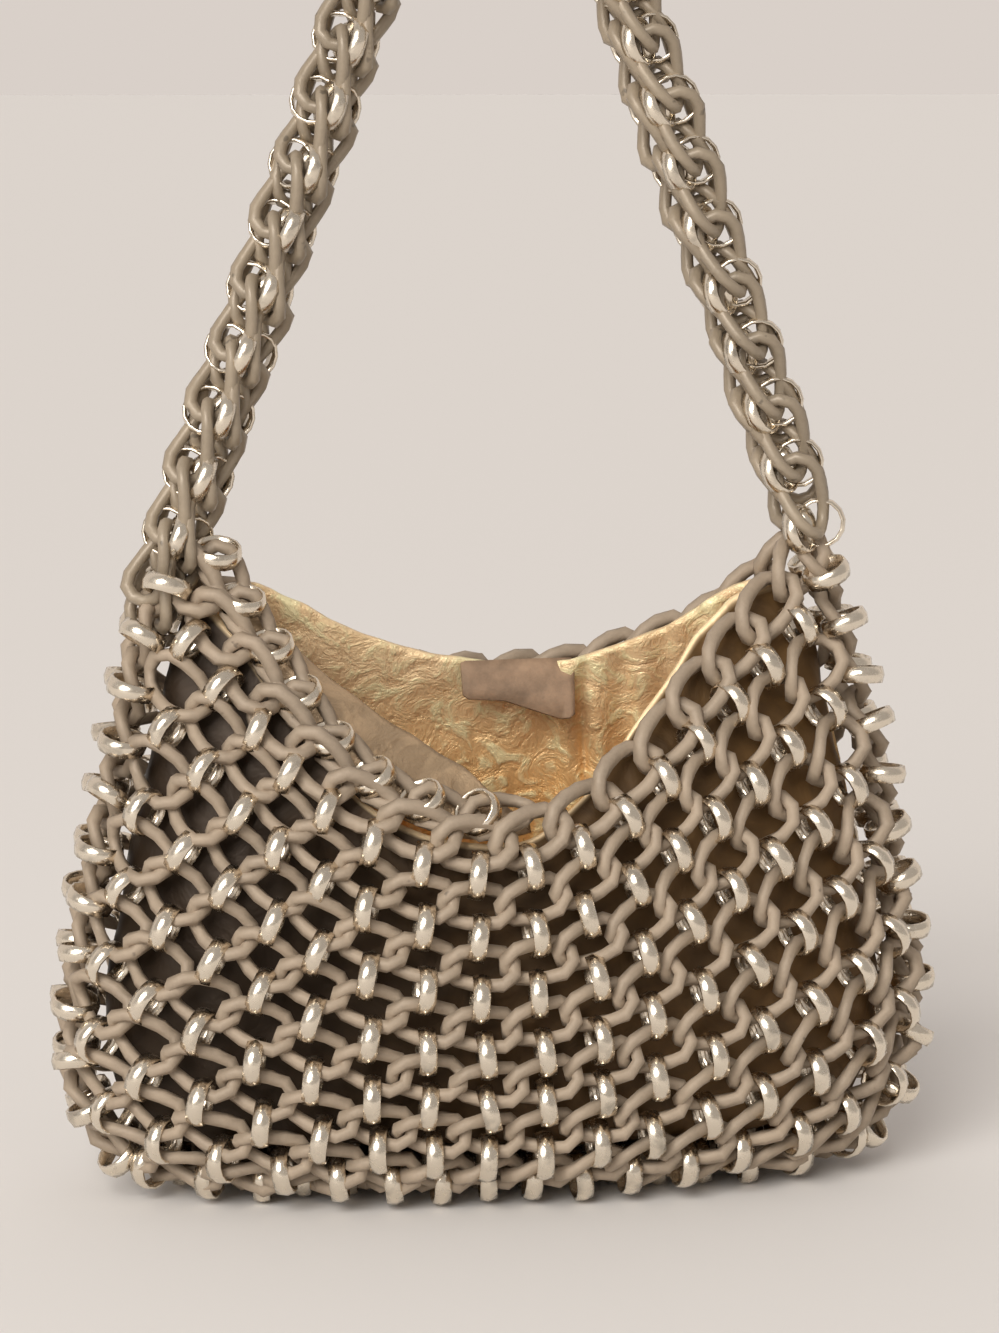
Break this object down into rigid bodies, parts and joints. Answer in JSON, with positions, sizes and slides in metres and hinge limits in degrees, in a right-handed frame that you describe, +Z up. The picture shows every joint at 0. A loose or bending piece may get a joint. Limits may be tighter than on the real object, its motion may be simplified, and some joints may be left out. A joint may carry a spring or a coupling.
{
  "type": "metal mesh purse",
  "caption": "Slouchy evening purse of coated chain mesh with flat joining rings, a dipped chain-edged mouth, a gold leather lining and a rope-like chain strap.",
  "frame": {"origin": "the point on the inner side of the strap's top where the purse hangs", "axes": "+X to the right across the mouth as seen from the front, +Y from the front to the back, +Z up"},
  "size_m": [0.2236, 0.091, 0.3504],
  "materials": {
    "matte_links": "matte warm taupe-grey coating, faintly mottled",
    "strap_links": "satin warm taupe-grey coating with small dark chips",
    "band_rings": "polished champagne-silver with fine scratches",
    "gold_leather": "crinkled gold foil on soft leather",
    "pewter_leather": "taupe metallic foil on leather, worn",
    "tab_leather": "dull taupe leather with a dark cut edge"
  },
  "bodies": {
    "root": {"net_front": "matte_links", "net_back": "matte_links", "mouth_chain": "matte_links", "strap": "strap_links", "lining": "gold_leather", "front_facing": "pewter_leather", "leather_tab": "tab_leather"}
  },
  "joints": []
}
